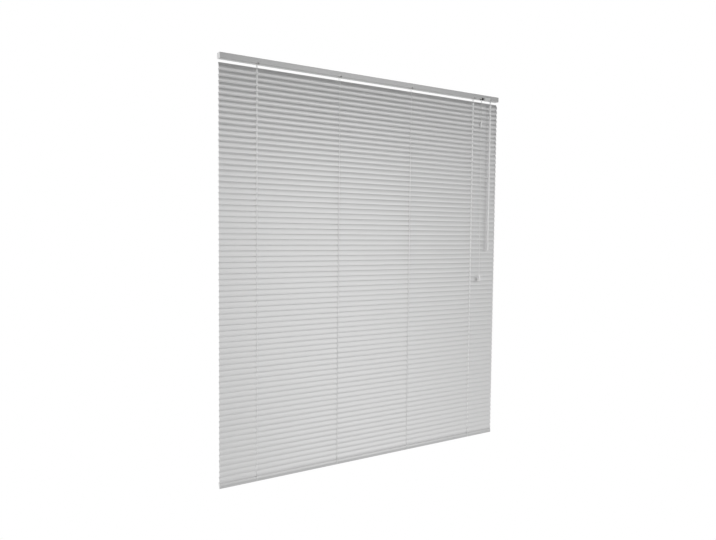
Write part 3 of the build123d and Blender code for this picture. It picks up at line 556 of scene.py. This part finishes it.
def map_range(nodes, links, source, low, high, start=0, stop=1, smooth=False):
    """Turns the source's start to stop into low to high."""
    node = nodes.new("ShaderNodeMapRange")
    if smooth:
        node.interpolation_type = "SMOOTHSTEP"
    node.inputs["From Min"].default_value = start
    node.inputs["From Max"].default_value = stop
    node.inputs["To Min"].default_value = low
    node.inputs["To Max"].default_value = high
    links.new(source, node.inputs["Value"])
    return node.outputs["Result"]


def combine(nodes, links, operation, first, second):
    node = nodes.new("ShaderNodeMath")
    node.operation = operation
    links.new(first, node.inputs[0])
    links.new(second, node.inputs[1])
    return node.outputs["Value"]


def mix_shaders(nodes, links, share, first, second):
    node = nodes.new("ShaderNodeMixShader")
    links.new(share, node.inputs["Fac"])
    links.new(first, node.inputs[1])
    links.new(second, node.inputs[2])
    return node.outputs[0]


def noise(nodes, links, scale, detail, stretch=(1, 1, 1)):
    where = nodes.new("ShaderNodeTexCoord")
    mapping = nodes.new("ShaderNodeMapping")
    mapping.inputs["Scale"].default_value = stretch
    links.new(where.outputs["Object"], mapping.inputs["Vector"])
    texture = nodes.new("ShaderNodeTexNoise")
    texture.inputs["Scale"].default_value = scale
    texture.inputs["Detail"].default_value = detail
    links.new(mapping.outputs["Vector"], texture.inputs["Vector"])
    return texture


def colour_mix(nodes, links, shader, texture, low, high, start=0.3, stop=0.7):
    """Gives the shader a base colour that the texture picks between two colours."""
    ramp = nodes.new("ShaderNodeValToRGB")
    ramp.color_ramp.elements[0].position = start
    ramp.color_ramp.elements[1].position = stop
    ramp.color_ramp.elements[0].color = (*low, 1)
    ramp.color_ramp.elements[1].color = (*high, 1)
    links.new(texture.outputs[0], ramp.inputs["Fac"])
    links.new(ramp.outputs["Color"], shader.inputs["Base Color"])


def bump(nodes, links, shader, texture, distance, strength):
    node = nodes.new("ShaderNodeBump")
    node.inputs["Distance"].default_value = distance
    node.inputs["Strength"].default_value = strength
    links.new(texture.outputs[0], node.inputs["Height"])
    links.new(node.outputs["Normal"], shader.inputs["Normal"])


# Materials
def metal(name, colour, rough, spread=0.03, metallic=1.0, coat=0.0):
    """Sheet or cast metal, bare or lacquered, with a fine grain along the blind's width."""
    made, nodes, links, shader = material(name)
    shader.inputs["Metallic"].default_value = metallic
    shader.inputs["Coat Weight"].default_value = coat
    shader.inputs["Coat Roughness"].default_value = 0.12
    low = tuple(c - spread for c in colour)
    high = tuple(c + spread for c in colour)
    grain = noise(nodes, links, scale=14, detail=4, stretch=(0.5, 60, 60))
    colour_mix(nodes, links, shader, grain, low, high)
    fine = noise(nodes, links, scale=900, detail=2, stretch=(0.2, 1, 1))
    roughness = map_range(nodes, links, fine.outputs[0], low=rough - 0.03, high=rough + 0.04)
    links.new(roughness, shader.inputs["Roughness"])
    bump(nodes, links, shader, fine, distance=0.00001, strength=0.4)
    return made


def plastic(name, colour, rough, spread=0.02, coat=0.0, depth=0.0):
    """Moulded plastic; depth is how far light goes into a milky one."""
    made, nodes, links, shader = material(name)
    low = tuple(max(c - spread, 0) for c in colour)
    high = tuple(min(c + spread, 1) for c in colour)
    mottle = noise(nodes, links, scale=60, detail=4)
    colour_mix(nodes, links, shader, mottle, low, high)
    shader.inputs["Roughness"].default_value = rough
    shader.inputs["Coat Weight"].default_value = coat
    if depth:
        shader.inputs["Subsurface Weight"].default_value = 1.0
        shader.inputs["Subsurface Radius"].default_value = (1, 1, 1)
        shader.inputs["Subsurface Scale"].default_value = depth
    fine = noise(nodes, links, scale=1500, detail=2)
    bump(nodes, links, shader, fine, distance=0.00002, strength=0.3)
    return made


def braid(name, colour, scale):
    """Twisted polyester cord: a fine diagonal wave along its length."""
    made, nodes, links, shader = material(name)
    where = nodes.new("ShaderNodeTexCoord")
    mapping = nodes.new("ShaderNodeMapping")
    mapping.inputs["Rotation"].default_value = (0.6, 0.5, 0)
    links.new(where.outputs["Object"], mapping.inputs["Vector"])
    wave = nodes.new("ShaderNodeTexWave")
    wave.bands_direction = "Z"
    wave.inputs["Scale"].default_value = scale
    wave.inputs["Distortion"].default_value = 0.6
    links.new(mapping.outputs["Vector"], wave.inputs["Vector"])
    low = tuple(c * 0.82 for c in colour)
    colour_mix(nodes, links, shader, wave, low, colour, start=0.1, stop=0.8)
    shader.inputs["Roughness"].default_value = 0.75
    shader.inputs["Sheen Weight"].default_value = 0.2
    bump(nodes, links, shader, wave, distance=0.00015, strength=0.6)
    return made


def grey(level):
    return (level, level, level)


finishes = {
    "slat_aluminium": metal("slat_lacquer", grey(0.735), rough=0.32, spread=0.02, metallic=0.68),
    "rail_steel": metal("rail_paint", grey(0.45), rough=0.3, spread=0.02, metallic=0.65, coat=1.0),
    "cap_plastic": plastic("cap_moulding", grey(0.88), rough=0.45),
    "ladder_braid": braid("ladder_polyester", grey(0.97), scale=900),
    "cord_braid": braid("cord_polyester", (0.82, 0.82, 0.81), scale=700),
    "bright_steel": metal("zinc_plate", (0.6, 0.6, 0.61), rough=0.28),
    "white_plastic": plastic("white_moulding", (0.8, 0.8, 0.78), rough=0.4),
    "lock_plastic": plastic("black_moulding", grey(0.03), rough=0.5, spread=0.008),
    "tilter_plastic": plastic("grey_moulding", grey(0.72), rough=0.42),
    "cam_brass": metal("cam_casting", (0.7, 0.55, 0.3), rough=0.35),
    "clear_plastic": plastic("milky_moulding", grey(0.985), rough=0.3, spread=0.01, coat=0.3, depth=0.001),
}
# Painted light: the bottom rail shares the headrail's paint but gets a lighter copy of it, so it looks as
# bright as the slats
rail_paint_painted_light = metal("lower_rail_painted_light", grey(0.60), rough=0.3, spread=0.02, metallic=0.65, coat=1.0)
slots = {s["node"]: s["material_slot"] for s in frame["record"]["subparts"]}
for name, node in frame["nodes"].items():
    node.data.materials.clear()
    node.data.materials.append(rail_paint_painted_light if name == "bottom_rail" else finishes[slots[name]])
pieces = [o for o in bpy.context.scene.collection.objects if o.type == "MESH" and "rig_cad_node" not in o]
for piece in pieces:
    piece.data.materials.append(finishes[piece["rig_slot"]])

# Own mesh data for the slats, ladders and lift cords
for piece in pieces:
    if piece.name.startswith(("slat_set", "ladder_braid", "lift_braid")):
        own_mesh(piece)


# Stage: floor and card
def plane(name, centre, size_x, size_y):
    verts = [
        (centre[0] + sx * size_x / 2, centre[1] + sy * size_y / 2, centre[2])
        for sx, sy in ((-1, -1), (1, -1), (1, 1), (-1, 1))
    ]
    piece = new_piece(name, verts, [(0, 1, 2, 3)], smooth=False)
    return piece


def white_to_eye(nodes, links, *kinds):
    """One for camera rays and for rays of these kinds, which see plain white; else zero."""
    rays = nodes.new("ShaderNodeLightPath")
    seen = rays.outputs["Is Camera Ray"]
    for kind in kinds:
        seen = combine(nodes, links, "MAXIMUM", seen, rays.outputs[kind])
    return seen


def build_floor():
    """A floor that looks plain white, and a little darker in reflections."""
    floor = plane("floor", (0, 0, FLOOR_Z), FLOOR_SIZE, FLOOR_SIZE)
    made, nodes, links, shader = material("floor_white")
    shader.inputs["Base Color"].default_value = (*grey(FLOOR_GREY), 1)
    shader.inputs["Roughness"].default_value = 0.9
    glow = nodes.new("ShaderNodeEmission")
    glow.inputs["Color"].default_value = WHITE
    mirrored = nodes.new("ShaderNodeLightPath").outputs["Is Glossy Ray"]
    strength = map_range(nodes, links, mirrored, low=1, high=FLOOR_REFLECTED)
    links.new(strength, glow.inputs["Strength"])
    share = white_to_eye(nodes, links, "Is Glossy Ray", "Is Transmission Ray")
    surface = mix_shaders(nodes, links, share, shader.outputs[0], glow.outputs[0])
    links.new(surface, nodes["Material Output"].inputs["Surface"])
    floor.data.materials.append(made)


def build_card():
    """A grey card over the blind, which darkens what the slats reflect from above."""
    card = plane("card", CARD_PLACE, CARD_LENGTH, CARD_DEPTH)
    made, _, _, shader = material("card_grey")
    shader.inputs["Base Color"].default_value = (*grey(CARD_GREY), 1)
    shader.inputs["Roughness"].default_value = 1.0
    card.data.materials.append(made)
    card.visible_camera = False


# Light
def background(nodes):
    node = nodes.new("ShaderNodeBackground")
    node.inputs["Color"].default_value = WHITE
    node.inputs["Strength"].default_value = 1.0
    return node


def facing(nodes, links, direction, azimuth):
    """Cosine of the angle between a direction's heading and the azimuth, from -Y towards +X."""
    level = nodes.new("ShaderNodeVectorMath")
    level.operation = "MULTIPLY"
    level.inputs[1].default_value = (1, 1, 0)
    links.new(direction, level.inputs[0])
    heading = nodes.new("ShaderNodeVectorMath")
    heading.operation = "NORMALIZE"
    links.new(level.outputs["Vector"], heading.inputs[0])
    towards = nodes.new("ShaderNodeVectorMath")
    towards.operation = "DOT_PRODUCT"
    towards.inputs[1].default_value = (math.sin(azimuth), -math.cos(azimuth), 0)
    links.new(heading.outputs["Vector"], towards.inputs[0])
    return towards.outputs["Value"]


def reflected_light(nodes, links):
    """What shiny surfaces reflect: a bright patch in front, a window behind, a dim ceiling."""
    around = nodes.new("ShaderNodeTexCoord").outputs["Generated"]
    way = nodes.new("ShaderNodeSeparateXYZ")
    links.new(around, way.inputs["Vector"])
    patch = map_range(
        nodes,
        links,
        facing(nodes, links, around, BRIGHT_AZIMUTH),
        low=SIDE_LIGHT,
        high=BRIGHT_LIGHT,
        start=BRIGHT_SPREAD,
        smooth=True,
    )
    window = map_range(nodes, links, way.outputs["Y"], low=0, high=WINDOW_LIGHT, stop=WINDOW_SPREAD)
    ceiling = map_range(
        nodes,
        links,
        way.outputs["Z"],
        low=1,
        high=OVERHEAD_LIGHT,
        start=DIM_START,
        stop=DIM_END,
        smooth=True,
    )
    sides = combine(nodes, links, "MAXIMUM", patch, window)
    return combine(nodes, links, "MULTIPLY", sides, ceiling)


def build_world():
    """Soft even light, plain white to the eye, and a studio that only reflections show."""
    world = bpy.data.worlds.new("studio")
    bpy.context.scene.world = world
    world.use_nodes = True
    nodes = world.node_tree.nodes
    links = world.node_tree.links
    soft = nodes["Background"]
    soft.inputs["Color"].default_value = WHITE
    soft.inputs["Strength"].default_value = SOFT_LIGHT
    studio = background(nodes)
    links.new(reflected_light(nodes, links), studio.inputs["Strength"])
    mirrored = nodes.new("ShaderNodeLightPath").outputs["Is Glossy Ray"]
    light = mix_shaders(nodes, links, mirrored, soft.outputs[0], studio.outputs[0])
    share = white_to_eye(nodes, links, "Is Transmission Ray")
    surface = mix_shaders(nodes, links, share, light, background(nodes).outputs[0])
    links.new(surface, nodes["World Output"].inputs["Surface"])


# Camera, where the photograph was taken from
def build_camera():
    data = bpy.data.cameras.new("camera")
    data.sensor_fit = "HORIZONTAL"
    data.sensor_width = 36
    data.lens = CAMERA_LENS
    data.clip_end = 100
    camera = bpy.data.objects.new("camera", data)
    bpy.context.scene.collection.objects.link(camera)
    level = math.cos(CAMERA_PITCH)
    ahead = Vector((math.sin(CAMERA_YAW) * level, math.cos(CAMERA_YAW) * level, math.sin(CAMERA_PITCH)))
    right = Vector((math.cos(CAMERA_YAW), -math.sin(CAMERA_YAW), 0))
    up = right.cross(ahead)
    rolled_right = right * math.cos(CAMERA_ROLL) + up * math.sin(CAMERA_ROLL)
    rolled_up = up * math.cos(CAMERA_ROLL) - right * math.sin(CAMERA_ROLL)
    turn = Matrix((rolled_right, rolled_up, -ahead)).transposed().to_4x4()
    camera.matrix_world = Matrix.Translation(CAMERA_PLACE) @ turn
    bpy.context.scene.camera = camera


build_floor()
build_card()
build_world()
build_camera()
bpy.context.scene.view_settings.view_transform = "Standard"
